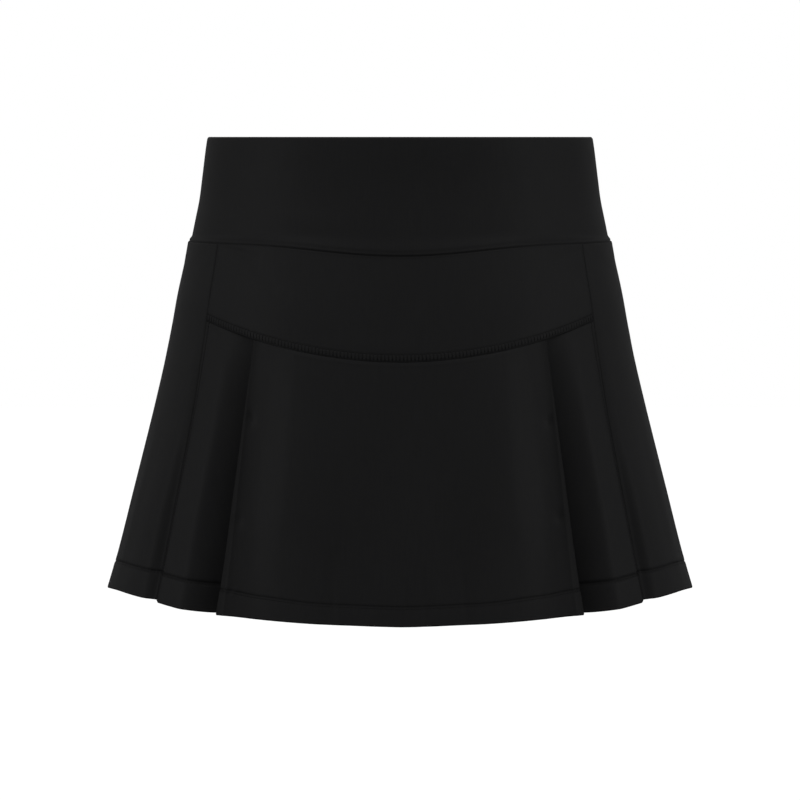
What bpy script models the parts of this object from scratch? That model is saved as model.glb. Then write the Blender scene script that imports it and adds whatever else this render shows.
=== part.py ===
"""A pleated tennis skort: a wide waistband, a yoke, a skirt with two front pleats, and inner shorts.

Metres, +Z up. The origin is the centre of the waist opening, in the plane of the waistband's top
edge, and the front faces -Y. A drop is a distance below that plane. An angle runs round the
body, from 0 at the front centre through 90 degrees at +X to 180 degrees at the back centre.
A depth is how far the middle of the cloth lies inside the garment's outer ring.
"""
from bisect import bisect_right
from collections import namedtuple
from math import asin, atan2, cos, degrees, hypot, pi, radians, sin

import bpy
import numpy as np

# ---- driving dimensions ------------------------------------------------------------------

SEAM_GAP = 0.0003          # between two pieces, where the seam joins them
CLOTH = 0.0012             # one layer of the knit
BAND_WALL = 0.0030         # the folded waistband, with its elastic
BAND_FLARE = 0.0015        # how far the band turns out over the seam allowances
SIDE_FLARE_HEIGHT = 0.004  # it turns out over this height at the sides
FRONT_FLARE_HEIGHT = 0.012  # and over this one at the front and back centres
WAIST_SEAM = 0.0726        # drop of the waist seam at the sides and the back
WAIST_DIP = 0.0066         # how much lower it is at the front centre
WAIST_DIP_REACH = 0.110    # half width over which it dips
WAIST_HALF_WIDTH = 0.149
YOKE_SEAM = 0.1484         # drop of the yoke seam at the front centre
YOKE_CURVE = 1.37          # it rises by this times the square of the distance from the centre
SIDE_SEAM_ANGLE = 94.0     # the side seams lie just behind the widest place
VALLEY_WIDTH = 0.006       # the soft groove along a side-front seam, in the front
SIDE_VALLEY_WIDTH = 0.009  # and in the side panel
FLARE_START = 0.150        # the back's flares grow from here
FLARE_END = 0.340          # to here, which is a little below the hem
WAVE_REACH = 0.170         # the front's waves are full this far below the yoke seam
BULGE_START = 5.0          # the cloth bulges between these degrees from a pleat's edge
BULGE_CREST = 13.0
BULGE_END = 33.0
SWELL_CREST = 0.12         # a side panel swells beside the side-front seam, to a crest at this
SWELL_END = 0.60           # share of its width, and sinks again up to this one

# Colours, as linear grey levels.

SKIRT_GREY = 0.014
BAND_GREY = 0.012
SHORTS_GREY = 0.011

# ---- tables, one row for each section or fold ---------------------------------------------

Ring = namedtuple("Ring", "drop half_width front_depth back_depth side_taper")

BAND_RINGS = (
    Ring(0.000, 0.1346, 0.0980, 0.1000, 0.0),
    Ring(0.009, 0.1360, 0.0988, 0.1010, 0.0),
    Ring(0.030, 0.1387, 0.1004, 0.1032, 0.0),
    Ring(0.044, 0.1406, 0.1020, 0.1052, 0.0),
    Ring(0.058, 0.1435, 0.1041, 0.1078, 0.0),
    Ring(0.068, 0.1456, 0.1057, 0.1098, 0.0),
    Ring(0.080, 0.1481, 0.1079, 0.1123, 0.0),
)

SKIRT_RINGS = (
    Ring(0.072, 0.1484, 0.1085, 0.1135, 0.00),
    Ring(0.090, 0.1520, 0.1124, 0.1184, 0.00),
    Ring(0.111, 0.1565, 0.1168, 0.1240, 0.00),
    Ring(0.132, 0.1604, 0.1207, 0.1290, 0.02),
    Ring(0.153, 0.1648, 0.1243, 0.1334, 0.04),
    Ring(0.185, 0.1727, 0.1294, 0.1388, 0.08),
    Ring(0.206, 0.1781, 0.1327, 0.1420, 0.10),
    Ring(0.249, 0.1892, 0.1393, 0.1482, 0.14),
    Ring(0.292, 0.2001, 0.1458, 0.1541, 0.18),
    Ring(0.321, 0.2085, 0.1502, 0.1580, 0.20),
)

SHORTS_RINGS = (
    Ring(0.072, 0.1458, 0.1061, 0.1111, 0.0),
    Ring(0.090, 0.1475, 0.1078, 0.1140, 0.0),
    Ring(0.111, 0.1500, 0.1096, 0.1178, 0.0),
    Ring(0.134, 0.1530, 0.1108, 0.1222, 0.0),
    Ring(0.153, 0.1558, 0.1108, 0.1262, 0.0),
    Ring(0.180, 0.1585, 0.1094, 0.1295, 0.0),
    Ring(0.206, 0.1600, 0.1060, 0.1300, 0.0),
    Ring(0.250, 0.1600, 0.0976, 0.1180, 0.0),
)

Leg = namedtuple("Leg", "drop inner outer front_depth back_depth")

LEG_RINGS = (
    Leg(0.195, 0.0002, 0.1600, 0.0975, 0.1230),
    Leg(0.250, 0.0002, 0.1600, 0.0908, 0.1110),
    Leg(0.275, 0.0020, 0.1598, 0.0906, 0.1010),
    Leg(0.298, 0.0040, 0.1595, 0.0905, 0.0940),
)
RISE_START = 0.195         # where the shorts' centre seams begin to turn under
CROTCH = 0.250
INNER_SHARE = 0.4          # share of a shorts piece's width that turns under with the seam

Seam = namedtuple("Seam", "drop angle valley swell")

SIDE_FRONT_SEAM = (
    Seam(0.072, 56.7, 0.0000, 0.0000),
    Seam(0.110, 56.2, 0.0000, 0.0000),
    Seam(0.150, 55.9, 0.0004, 0.0000),
    Seam(0.185, 55.3, 0.0012, 0.0006),
    Seam(0.235, 55.0, 0.0018, 0.0026),
    Seam(0.290, 54.9, 0.0024, 0.0034),
    Seam(0.321, 54.5, 0.0026, 0.0028),
)

Pleat = namedtuple("Pleat", "drop edge_angle underlay edge_radius back_radius recess")

PLEATS = (
    Pleat(0.136, 37.9, 0.018, 0.0010, 0.0010, 0.0046),
    Pleat(0.160, 37.8, 0.019, 0.0010, 0.0011, 0.0092),
    Pleat(0.210, 37.3, 0.021, 0.0010, 0.0015, 0.0165),
    Pleat(0.245, 37.0, 0.022, 0.0010, 0.0017, 0.0200),
    Pleat(0.272, 36.8, 0.024, 0.0010, 0.0019, 0.0225),
    Pleat(0.321, 36.6, 0.029, 0.0010, 0.0022, 0.0280),
)

Lift = namedtuple("Lift", "drop edge reach bulge")

LIFTS = (                  # a pleat's edge lifts away, and the cloth bulges softly beside it
    Lift(0.125, 0.0000, 5.0, 0.0000),
    Lift(0.160, 0.0006, 5.0, 0.0020),
    Lift(0.210, 0.0022, 5.5, 0.0030),
    Lift(0.245, 0.0030, 6.0, 0.0025),
    Lift(0.272, 0.0036, 7.5, 0.0014),
    Lift(0.321, 0.0048, 10.0, 0.0004),
)

Edge = namedtuple("Edge", "angle drop")

FRONT_HEM = (
    Edge(0.0, 0.3213),
    Edge(15.0, 0.3206),
    Edge(27.0, 0.3199),
    Edge(36.6, 0.3189),
    Edge(38.6, 0.3212),
    Edge(45.0, 0.3191),
    Edge(54.5, 0.3164),
)

SIDE_AND_BACK_HEM = (
    Edge(54.5, 0.3156),
    Edge(60.0, 0.3145),
    Edge(70.0, 0.3144),
    Edge(80.0, 0.3160),
    Edge(90.0, 0.3183),
    Edge(120.0, 0.3198),
    Edge(180.0, 0.3205),
)

Flare = namedtuple("Flare", "angle spread rise")

BACK_FLARES = (
    Flare(114.0, 13.0, 0.0040),
    Flare(139.0, 15.0, 0.0062),
    Flare(164.0, 12.0, 0.0046),
    Flare(190.0, 14.0, 0.0056),
    Flare(217.0, 15.0, 0.0048),
    Flare(244.0, 13.0, 0.0058),
)

Wave = namedtuple("Wave", "angle spread rise")

FRONT_WAVES = (
    Wave(-17.5, 7.0, 0.0004),
    Wave(-8.5, 5.5, -0.0008),
    Wave(2.2, 5.5, 0.0007),
    Wave(10.5, 5.5, -0.0008),
    Wave(18.5, 7.0, 0.0003),
)

# A recessed section rises in one soft step, between these shares of its width. It starts
# behind its pleat, which is below 0.

SECTION_DIP = -0.18
SECTION_RISE = 0.58

Cap = namedtuple("Cap", "drop wall_share")

BAND_TOP = (               # the rounded fold along the band's top edge
    Cap(0.0000, 0.34),
    Cap(0.0005, 0.68),
    Cap(0.0013, 0.88),
    Cap(0.0026, 1.00),
)

# ---- how finely the pieces are divided ----------------------------------------------------

BAND_COLUMNS = 36
YOKE_COLUMNS = 24
CENTRE_COLUMNS = 16        # from the front centre to a pleat's edge
EDGE_FOLD_STEPS = 6
UNDERLAY_STEPS = 3
BACK_FOLD_STEPS = 5
BACK_COLUMNS = 40
BAND_SHARES = (0.15, 0.32, 0.50, 0.68, 0.84, 0.94, 1.0)
YOKE_SHARES = np.linspace(0, 1, 7)
SKIRT_SHARES = np.linspace(0, 1, 13)
SIDE_ROW_SHARES = np.linspace(0, 1, 15)
SECTION_SHARES = (0.08, 0.17, 0.25, 0.33, 0.41, 0.49, 0.57, 0.66, 0.81, 1.0)
SIDE_SHARES = (0.0, 0.015, 0.045, 0.08, 0.12, 0.18, 0.28, 0.40, 0.54, 0.69, 0.84, 1.0)
SHORTS_SHARES = (0.0, 0.05, 0.12, 0.21, 0.32, 0.44, 0.56, 0.68, 0.80, 0.90, 1.0)
BODY_ROWS = 5
RISE_ROWS = 6
LEG_ROWS = 3


# ---- reading the tables -------------------------------------------------------------------

def read(rows, column, at):
    """One column of a table at any value of its first one, on a smooth curve through the rows."""
    stations = [row[0] for row in rows]
    values = [getattr(row, column) for row in rows]
    last = len(rows) - 1
    at = min(max(at, stations[0]), stations[last])
    low = min(bisect_right(stations, at), last) - 1
    high = low + 1
    span = stations[high] - stations[low]
    share = (at - stations[low]) / span

    def slope(index):
        before = max(index - 1, 0)
        after = min(index + 1, last)
        return (values[after] - values[before]) / (stations[after] - stations[before])

    start = (1 + 2 * share) * (1 - share) ** 2 * values[low]
    end = share * share * (3 - 2 * share) * values[high]
    start_slope = share * (1 - share) ** 2 * span * slope(low)
    end_slope = share * share * (share - 1) * span * slope(high)
    return start + end + start_slope + end_slope


def ease(share):
    """A smooth step from 0 to 1."""
    share = min(max(share, 0.0), 1.0)
    return share * share * (3 - 2 * share)


def bumps(rows, angle):
    """The sum of soft round bumps, each with its own angle, spread and rise."""
    total = 0.0
    for row in rows:
        away = abs(degrees(angle) - row.angle) / row.spread
        if away < 1:
            total += row.rise * (0.5 + 0.5 * cos(pi * away))
    return total


# ---- the garment's rings ------------------------------------------------------------------

def outline(rings, drop, angle):
    """The outer ring: half an ellipse in front and half an ellipse behind, drawn in at the sides."""
    half_width = read(rings, "half_width", drop)
    depth = read(rings, "front_depth" if cos(angle) > 0 else "back_depth", drop)
    taper = read(rings, "side_taper", drop)
    x = half_width * sin(angle)
    y = -depth * cos(angle) * (1 - taper * sin(angle) ** 2)
    return np.array((x, y))


def along_ring(rings, drop, angle):
    """How the ring's point moves as its angle grows, in metres a radian."""
    step = 0.001
    return (outline(rings, drop, angle + step) - outline(rings, drop, angle - step)) / (2 * step)


def ring_point(rings, drop, angle, depth):
    """A point at an angle, moved straight inward from the ring by the depth."""
    along = along_ring(rings, drop, angle)
    outward = np.array((along[1], -along[0])) / np.linalg.norm(along)
    x, y = outline(rings, drop, angle) - outward * depth
    return np.array((x, y, -drop))


def half_gap_angle(rings, drop, angle):
    """The angle that half a seam's gap takes up."""
    return SEAM_GAP / 2 / np.linalg.norm(along_ring(rings, drop, angle))


# ---- the seams and edges ------------------------------------------------------------------

def waist_seam(angle):
    """Level round the sides and back, and dipping in a soft curve across the front."""
    across = abs(WAIST_HALF_WIDTH * sin(angle)) / WAIST_DIP_REACH
    if cos(angle) < 0 or across > 1:
        return WAIST_SEAM
    return WAIST_SEAM + WAIST_DIP * (0.5 + 0.5 * cos(pi * across))


def yoke_seam(angle):
    """A parabola that is lowest at the front centre."""
    drop = YOKE_SEAM
    for _ in range(4):
        across = read(SKIRT_RINGS, "half_width", drop) * sin(angle)
        drop = YOKE_SEAM - YOKE_CURVE * across ** 2
    return drop


def side_front_angle(drop):
    return radians(read(SIDE_FRONT_SEAM, "angle", drop))


def front_hem(angle):
    return read(FRONT_HEM, "drop", abs(degrees(angle)))


def side_and_back_hem(angle):
    turned = degrees(angle)
    return read(SIDE_AND_BACK_HEM, "drop", min(turned, 360 - turned))


def below(edge):
    return lambda angle: edge(angle) + SEAM_GAP / 2


def above(edge):
    return lambda angle: edge(angle) - SEAM_GAP / 2


# ---- making walls of cloth ----------------------------------------------------------------

def panel_grid(rings, place, top, hem, columns, shares):
    """Points on the middle of a panel, in rows from its top edge down.

    place(column, drop) gives a column's angle and depth, and top and hem give an edge's drop
    at an angle.
    """
    grid = np.zeros((len(shares), columns, 3))
    for column in range(columns):
        ends = []
        for edge in (top, hem):
            drop = edge(0.0)
            for _ in range(4):
                drop = edge(place(column, drop)[0])
            ends.append(drop)
        for row, share in enumerate(shares):
            drop = ends[0] + share * (ends[1] - ends[0])
            grid[row, column] = ring_point(rings, drop, *place(column, drop))
    return grid


def mirrored(grid):
    """The same grid on the other side of the body, with its columns still from left to right."""
    return grid[:, ::-1] * np.array((-1, 1, 1))


def unit(vectors):
    return vectors / np.linalg.norm(vectors, axis=2, keepdims=True)


def directions(grid, axis):
    """The sum of the unit steps to a point and from it, carried on past the grid's ends."""
    steps = unit(np.diff(grid, axis=axis))
    before = unit(2 * steps.take([0], axis=axis) - steps.take([1], axis=axis))
    after = unit(2 * steps.take([-1], axis=axis) - steps.take([-2], axis=axis))
    return np.concatenate((before, steps), axis=axis) + np.concatenate((steps, after), axis=axis)


def both_sides(grid, wall):
    """The outer and inner points of a wall about a grid. They stay parallel round a fold."""
    across = directions(grid, axis=1)
    outward = unit(np.cross(directions(grid, axis=0), across))
    miter = 2 / np.linalg.norm(across, axis=2, keepdims=True)
    offset = outward * miter * (wall / 2)
    offset[0, :, 2] = 0.0       # the top and bottom edges are cut level through the cloth
    offset[-1, :, 2] = 0.0
    return grid + offset, grid - offset


def knit_material(name, grey, roughness):
    """A matt black stretch knit."""
    material = bpy.data.materials.new(name)
    material.use_nodes = True
    shader = material.node_tree.nodes["Principled BSDF"]
    shader.inputs["Base Color"].default_value = (grey, grey, grey, 1)
    shader.inputs["Roughness"].default_value = roughness
    shader.inputs["Metallic"].default_value = 0.0
    return material


def closed_wall(name, outer, inner, grey=SKIRT_GREY, roughness=0.8):
    """One closed body from the two sides of a wall, hung from the garment's waist.

    Both sides are split along the same diagonals, the shorter ones, so the wall keeps its
    thickness where it twists.
    """
    rows, columns = outer.shape[:2]
    count = rows * columns
    index = np.arange(count).reshape(rows, columns)
    middle = ((outer + inner) / 2).reshape(-1, 3)
    faces = []
    for row in range(rows - 1):
        for column in range(columns - 1):
            a = int(index[row, column])
            b = int(index[row + 1, column])
            c = int(index[row + 1, column + 1])
            d = int(index[row, column + 1])
            falling = np.linalg.norm(middle[a] - middle[c])
            rising = np.linalg.norm(middle[b] - middle[d])
            halves = ((a, b, c), (a, c, d)) if falling <= rising else ((a, b, d), (b, c, d))
            for half in halves:
                faces.append(half)
                faces.append([point + count for point in reversed(half)])
    rim = [*index[:, 0], *index[-1, 1:], *index[-2::-1, -1], *index[0, -2:0:-1]]
    for point, following in zip(rim, rim[1:] + rim[:1]):
        a = int(point)
        b = int(following)
        faces.append([b, a, a + count, b + count])
    points = np.concatenate((outer.reshape(-1, 3), inner.reshape(-1, 3)))
    mesh = bpy.data.meshes.new(name)
    mesh.from_pydata(points.tolist(), [], faces)
    mesh.shade_smooth()
    mesh.set_sharp_from_angle(angle=radians(50))
    mesh.materials.append(knit_material(name + "_knit", grey, roughness))
    piece = bpy.data.objects.new(name, mesh)
    bpy.context.scene.collection.objects.link(piece)
    piece.parent = waist
    return piece


# ---- waistband ----------------------------------------------------------------------------
# A wide band of doubled knit, folded over elastic along its top edge, so that edge is round.
# Its lowest few millimetres turn out over the waist seam's allowances.

def waistband(name, first_angle, last_angle):
    turn = last_angle - first_angle

    def place(column, drop):
        angle = first_angle + turn * column / BAND_COLUMNS
        if column == 0:
            angle += half_gap_angle(BAND_RINGS, drop, angle)
        if column == BAND_COLUMNS:
            angle -= half_gap_angle(BAND_RINGS, drop, angle)
        height = SIDE_FLARE_HEIGHT * sin(angle) ** 2 + FRONT_FLARE_HEIGHT * cos(angle) ** 2
        flare = BAND_FLARE * ease(1 - (waist_seam(angle) - drop) / height)
        return angle, BAND_WALL / 2 - flare

    columns = BAND_COLUMNS + 1
    caps = []
    for cap in BAND_TOP:
        caps.append(panel_grid(BAND_RINGS, place, lambda angle: cap.drop, lambda angle: cap.drop,
                               columns, (0.0,)))
    sides = panel_grid(BAND_RINGS, place, lambda angle: BAND_TOP[-1].drop, above(waist_seam),
                       columns, BAND_SHARES)
    grid = np.concatenate((*caps, sides))
    wall = np.full((len(grid), 1, 1), BAND_WALL)
    for row, cap in enumerate(BAND_TOP):
        wall[row] *= cap.wall_share
    closed_wall(name, *both_sides(grid, wall), grey=BAND_GREY)


# ---- front yoke ---------------------------------------------------------------------------
# One layer of knit between the waist seam and the curved yoke seam.

def front_yoke():
    def place(column, drop):
        edge = side_front_angle(drop)
        edge -= half_gap_angle(SKIRT_RINGS, drop, edge)
        return edge * (2 * column / YOKE_COLUMNS - 1), CLOTH / 2

    grid = panel_grid(SKIRT_RINGS, place, below(waist_seam), above(yoke_seam),
                      YOKE_COLUMNS + 1, YOKE_SHARES)
    closed_wall("front_yoke", *both_sides(grid, CLOTH))


# ---- pleated front of the skirt -----------------------------------------------------------
# The centre panel, both pleats and the recessed sections beside them are one piece of knit.
# Each pleat folds back under the centre panel and out again, flat at the yoke seam and open
# at the hem.

def arc(start, heading, turn, radius, steps):
    """Points round an arc in the plane of distance along the ring and depth."""
    side = 1 if turn > 0 else -1
    centre = (start[0] - side * radius * sin(heading), start[1] + side * radius * cos(heading))
    points = []
    for step in range(1, steps + 1):
        facing = heading + turn * step / steps
        along = centre[0] + side * radius * sin(facing)
        depth = centre[1] - side * radius * cos(facing)
        points.append((along, depth))
    return points


def pleat_path(drop, section_width):
    """The cloth from a pleat's edge to the side-front seam, as distances from that edge."""
    underlay = read(PLEATS, "underlay", drop)
    edge_radius = read(PLEATS, "edge_radius", drop)
    back_radius = read(PLEATS, "back_radius", drop)
    recess = read(PLEATS, "recess", drop)
    valley = read(SIDE_FRONT_SEAM, "valley", drop)
    both = edge_radius + back_radius
    splay = asin((recess - CLOTH / 2 - both) / hypot(both, underlay)) - atan2(both, underlay)
    turn = pi - splay
    path = [(-edge_radius - CLOTH / 2, CLOTH / 2)]
    path += arc(path[-1], 0.0, turn, edge_radius, EDGE_FOLD_STEPS)
    start = path[-1]
    for step in range(1, UNDERLAY_STEPS + 1):
        run = underlay * step / UNDERLAY_STEPS
        path.append((start[0] - run * cos(splay), start[1] + run * sin(splay)))
    path += arc(path[-1], turn, -turn, back_radius, BACK_FOLD_STEPS)
    start = path[-1]
    for share in SECTION_SHARES:
        along = start[0] + (section_width - start[0]) * share
        risen = ease((along / section_width - SECTION_DIP) / (SECTION_RISE - SECTION_DIP))
        depth = start[1] + (CLOTH / 2 - start[1]) * risen
        depth += valley * ease(1 - (section_width - along) / VALLEY_WIDTH)
        path.append((along, depth))
    return path


def front_rise(x, y, drop):
    """How far the centre panel stands forward of the ring, in its waves and by its pleats."""
    half_width = read(SKIRT_RINGS, "half_width", drop)
    front_depth = read(SKIRT_RINGS, "front_depth", drop)
    angle = atan2(x / half_width, -y / front_depth)
    waves = bumps(FRONT_WAVES, angle) * ease((drop - YOKE_SEAM) / WAVE_REACH)
    away = read(PLEATS, "edge_angle", drop) - abs(degrees(angle))
    to_edge = 1 - min(max(away / read(LIFTS, "reach", drop), 0.0), 1.0)
    bulged = ease((away - BULGE_START) / (BULGE_CREST - BULGE_START))
    bulged -= ease((away - BULGE_CREST) / (BULGE_END - BULGE_CREST))
    lifted = read(LIFTS, "edge", drop) * to_edge ** 2 + read(LIFTS, "bulge", drop) * bulged
    return waves + lifted


def skirt_front():
    def place(column, drop):
        edge = radians(read(PLEATS, "edge_angle", drop))
        speed = np.linalg.norm(along_ring(SKIRT_RINGS, drop, edge))
        seam = side_front_angle(drop)
        seam -= half_gap_angle(SKIRT_RINGS, drop, seam)
        path = pleat_path(drop, (seam - edge) * speed)
        if column > CENTRE_COLUMNS:
            along, depth = path[column - CENTRE_COLUMNS]
            return edge + along / speed, depth
        angle = (edge + path[0][0] / speed) * column / CENTRE_COLUMNS
        return angle, CLOTH / 2

    on_top = CENTRE_COLUMNS + 1 + EDGE_FOLD_STEPS
    columns = on_top + UNDERLAY_STEPS + BACK_FOLD_STEPS + len(SECTION_SHARES)
    right = panel_grid(SKIRT_RINGS, place, below(yoke_seam), front_hem, columns, SKIRT_SHARES)
    grid = np.concatenate((mirrored(right)[:, :-1], right), axis=1)
    for row in grid:
        for column, point in enumerate(row):
            under = abs(column - columns + 1) - on_top + 1
            share = min(max(1 - under / UNDERLAY_STEPS, 0.0), 1.0)
            x, y, z = point
            point[1] -= front_rise(x, y, -z) * share
    closed_wall("skirt_front", *both_sides(grid, CLOTH))


# ---- side panels and back of the skirt ----------------------------------------------------
# Plain flared panels. Soft flares, uneven in width and depth, grow towards the back hem.

def flared_depth(angle, drop):
    fall = ease((drop - FLARE_START) / (FLARE_END - FLARE_START))
    return CLOTH / 2 - bumps(BACK_FLARES, angle) * fall


def side_panels():
    def place(column, drop):
        first = side_front_angle(drop)
        first += half_gap_angle(SKIRT_RINGS, drop, first)
        last = radians(SIDE_SEAM_ANGLE)
        last -= half_gap_angle(SKIRT_RINGS, drop, last)
        angle = first + (last - first) * SIDE_SHARES[column]
        from_seam = (angle - first) * np.linalg.norm(along_ring(SKIRT_RINGS, drop, first))
        valley = read(SIDE_FRONT_SEAM, "valley", drop) * ease(1 - from_seam / SIDE_VALLEY_WIDTH)
        sunk = ease((SIDE_SHARES[column] - SWELL_CREST) / (SWELL_END - SWELL_CREST))
        swell = ease(SIDE_SHARES[column] / SWELL_CREST) - sunk
        return angle, CLOTH / 2 + valley - read(SIDE_FRONT_SEAM, "swell", drop) * swell

    right = panel_grid(SKIRT_RINGS, place, below(waist_seam), side_and_back_hem,
                       len(SIDE_SHARES), SIDE_ROW_SHARES)
    closed_wall("side_panel_right", *both_sides(right, CLOTH))
    closed_wall("side_panel_left", *both_sides(mirrored(right), CLOTH))


def back_panel():
    first_angle = radians(SIDE_SEAM_ANGLE)
    turn = 2 * pi - 2 * first_angle

    def place(column, drop):
        angle = first_angle + turn * column / BACK_COLUMNS
        if column == 0:
            angle += half_gap_angle(SKIRT_RINGS, drop, angle)
        if column == BACK_COLUMNS:
            angle -= half_gap_angle(SKIRT_RINGS, drop, angle)
        return angle, flared_depth(angle, drop)

    grid = panel_grid(SKIRT_RINGS, place, below(waist_seam), side_and_back_hem,
                      BACK_COLUMNS + 1, SKIRT_SHARES)
    closed_wall("back_panel", *both_sides(grid, CLOTH))


# ---- inner shorts -------------------------------------------------------------------------
# Four pieces sewn into the waist seam. Their centre seams run down the front and the back and
# turn under to the crotch, and each leg hangs from there to a plain hem.

def leg_point(depth_column, share, drop):
    """A point on the middle of half a leg, from its inner side round to its outer side."""
    inner = read(LEG_RINGS, "inner", drop) + CLOTH / 2
    outer = read(LEG_RINGS, "outer", drop) - CLOTH / 2
    depth = read(LEG_RINGS, depth_column, drop) - CLOTH / 2
    x = (inner + outer) / 2 - (outer - inner) / 2 * cos(pi * share)
    return np.array((x, -depth * sin(pi * share), -drop))


def shorts_grid(depth_column):
    """The middle of a right-hand piece, drawn as a front piece."""
    is_front = depth_column == "front_depth"

    def body_point(share, drop):
        angle = pi / 2 * share
        if not is_front:
            angle = pi - angle
        point = ring_point(SHORTS_RINGS, drop, angle, CLOTH / 2)
        point[1] = -abs(point[1])
        return point

    grid = []
    for row in range(BODY_ROWS):
        points = []
        for share in SHORTS_SHARES:
            angle = pi / 2 * share if is_front else pi - pi / 2 * share
            top = waist_seam(angle) + SEAM_GAP / 2
            points.append(body_point(share, top + (RISE_START - top) * row / BODY_ROWS))
        grid.append(points)
    for row in range(RISE_ROWS + 1):
        turned = pi / 2 * row / RISE_ROWS
        drop = RISE_START + (CROTCH - RISE_START) * sin(turned)
        points = []
        for share in SHORTS_SHARES:
            at_seam = 1 - cos(turned)
            on_leg = ease(sin(turned))
            weight = at_seam + (on_leg - at_seam) * ease(share / INNER_SHARE)
            points.append(body_point(share, drop) * (1 - weight)
                          + leg_point(depth_column, share, drop) * weight)
        grid.append(points)
    leg_hem = LEG_RINGS[-1].drop
    for row in range(1, LEG_ROWS + 1):
        drop = CROTCH + (leg_hem - CROTCH) * row / LEG_ROWS
        grid.append([leg_point(depth_column, share, drop) for share in SHORTS_SHARES])
    return np.array(grid)


def shorts():
    for part, depth_column in (("front", "front_depth"), ("back", "back_depth")):
        for side in ("right", "left"):
            sides = []
            for points in both_sides(shorts_grid(depth_column), CLOTH):
                points[..., 0] = np.maximum(points[..., 0], SEAM_GAP / 2)
                points[..., 1] = np.minimum(points[..., 1], -SEAM_GAP / 2)
                if part == "back":
                    points = points[:, ::-1] * np.array((1, -1, 1))
                if side == "left":
                    points = mirrored(points)
                sides.append(points)
            closed_wall(f"shorts_{part}_{side}", *sides, grey=SHORTS_GREY, roughness=0.7)


# ---- the garment --------------------------------------------------------------------------

for stale in list(bpy.data.objects):
    bpy.data.objects.remove(stale, do_unlink=True)

waist = bpy.data.objects.new("waist_centre", None)
bpy.context.scene.collection.objects.link(waist)

waistband("waistband_front", radians(-SIDE_SEAM_ANGLE), radians(SIDE_SEAM_ANGLE))
waistband("waistband_back", radians(SIDE_SEAM_ANGLE), radians(360 - SIDE_SEAM_ANGLE))
front_yoke()
skirt_front()
side_panels()
back_panel()
shorts()
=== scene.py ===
"""A black pleated tennis skort with inner shorts, filled out as worn and open round its waist.

Metres, +Z up, and the front faces -Y. A drop is a distance below the waistband's top edge. An
angle runs round the body, from 0 at the front centre through 90 degrees at +X to the back.
"""

from collections import namedtuple
from math import pi, radians

import bpy
import numpy as np
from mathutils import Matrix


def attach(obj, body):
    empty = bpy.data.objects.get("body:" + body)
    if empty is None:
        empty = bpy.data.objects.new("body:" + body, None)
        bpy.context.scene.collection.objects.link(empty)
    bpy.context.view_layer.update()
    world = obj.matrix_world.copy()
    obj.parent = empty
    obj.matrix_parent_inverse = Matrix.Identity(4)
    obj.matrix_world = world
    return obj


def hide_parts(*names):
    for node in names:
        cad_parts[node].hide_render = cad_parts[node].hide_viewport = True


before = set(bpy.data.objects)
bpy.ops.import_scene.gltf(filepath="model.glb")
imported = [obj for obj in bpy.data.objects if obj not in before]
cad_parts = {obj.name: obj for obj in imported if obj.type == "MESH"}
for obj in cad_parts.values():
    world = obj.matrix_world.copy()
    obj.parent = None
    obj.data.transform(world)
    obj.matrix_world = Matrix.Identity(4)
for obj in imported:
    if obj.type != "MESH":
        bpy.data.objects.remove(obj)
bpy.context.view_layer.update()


# ---- waistband ----
# A wide band of doubled knit in a front and a back half. The knit is folded over elastic along
# the top, so that edge is round, and the lowest few millimetres stand out over the allowances
# of the waist seam, which shows as a ditch.

MM = 0.001


def table(columns, *rows):
    """Rows with named columns. Those whose names end in _mm are turned into metres."""
    kind = namedtuple("Row", columns.replace("_mm", ""))
    units = [MM if name.endswith("_mm") else 1 for name in columns.split()]
    return [kind(*(value * unit for value, unit in zip(row, units))) for row in rows]


RING = "drop_mm half_width_mm front_depth_mm back_depth_mm side_taper"

BAND_RINGS = table(
    RING,
    (0, 134.6, 98, 100, 0),
    (9, 136, 98.8, 101, 0),
    (30, 138.7, 100.4, 103.2, 0),
    (44, 140.6, 102, 105.2, 0),
    (58, 143.5, 104.1, 107.8, 0),
    (68, 145.6, 105.7, 109.8, 0),
    (80, 148.1, 107.9, 112.3, 0),
)

BAND_WALL = 0.003
HALF_BAND_LENGTH = 0.41
BAND_TOP_ROUND = 0.0024  # the fold along the top edge rounds off over this height
BAND_FLARE = 0.0015
SIDE_FLARE_HEIGHT = 0.004  # the band stands out over this height at the sides
FRONT_FLARE_HEIGHT = 0.012
WAIST_SEAM = 0.0726  # drop of the waist seam at the sides and the back
WAIST_DIP = 0.0066  # how much lower it is at the front centre
WAIST_DIP_REACH = 0.11
WAIST_HALF_WIDTH = 0.149
SIDE_SEAM_ANGLE = 94.0
SEAM_SLIT = 0.0001  # left open between two pieces in the bottom of a seam's ditch
DITCH_DEPTH = 0.0004  # how far an edge rolls in towards its seam
DITCH_WIDTH = 0.0011
INNER_DITCH = 0.6  # the band's inner side rolls in by this share of it
PAINTED_SEAM_SHADE = 0.24  # share of painted shade right at a seam, darkening its ditch
PAINTED_SEAM_SHADE_WIDTH = 0.0008
PRESS_LINE = 0.0024  # the allowances' edge shows this far above the waist seam
PRESS_DEPTH = 0.00014
PRESS_WIDTH = 0.0012
# painted shade along the allowances' edge above the waist seam
PAINTED_ALLOWANCE_SHADE = 0.18
PAINTED_DIP_SHADE = 0.15  # painted shade above the front's dip of the waist seam, against the light its flare catches
PAINTED_DIP_SHADE_WIDTH = 0.009
FINE = 0.0004  # spacing of points at a seam or a stitched line
COARSE = 0.0026  # spacing elsewhere


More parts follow.
